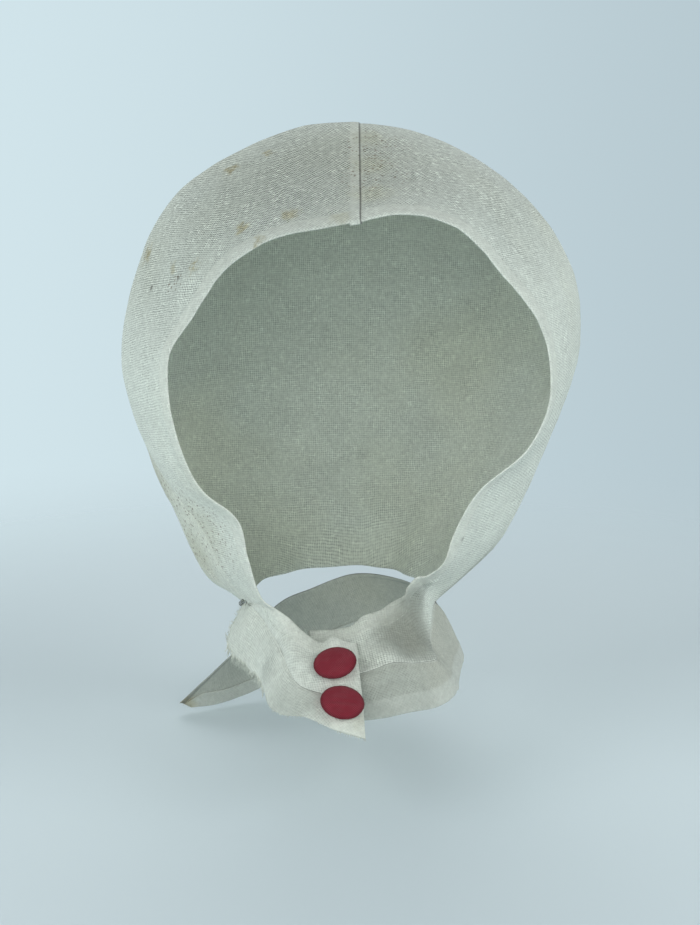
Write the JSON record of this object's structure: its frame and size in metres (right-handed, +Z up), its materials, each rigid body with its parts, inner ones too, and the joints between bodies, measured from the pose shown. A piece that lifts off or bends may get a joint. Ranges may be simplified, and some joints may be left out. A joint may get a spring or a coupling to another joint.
{
  "type": "linen nightcap hood",
  "caption": "Hood-shaped nightcap of thin undyed linen, wide face band, full rounded back and a short collar closed under the chin with cloth-covered buttons.",
  "frame": {"origin": "inside the top of the crown, where the cap sits on the top of the head", "axes": "+Z up, -Y the way the face opening looks, +X to the right seen from the front"},
  "size_m": [0.2491, 0.2408, 0.3447],
  "materials": {
    "band_linen": "matt open plain weave with slubs, brown foxing stains at the upper left",
    "crown_linen": "matt open plain weave, one layer",
    "collar_linen": "matt open plain weave, frayed at the raw ends",
    "red_cloth": "matt fine twill over a round button"
  },
  "bodies": {
    "root": {"band_left": "band_linen", "band_right": "band_linen", "crown": "crown_linen", "collar_short": "collar_linen", "collar_long": "collar_linen", "button_upper": "red_cloth", "button_lower": "red_cloth"}
  },
  "joints": []
}
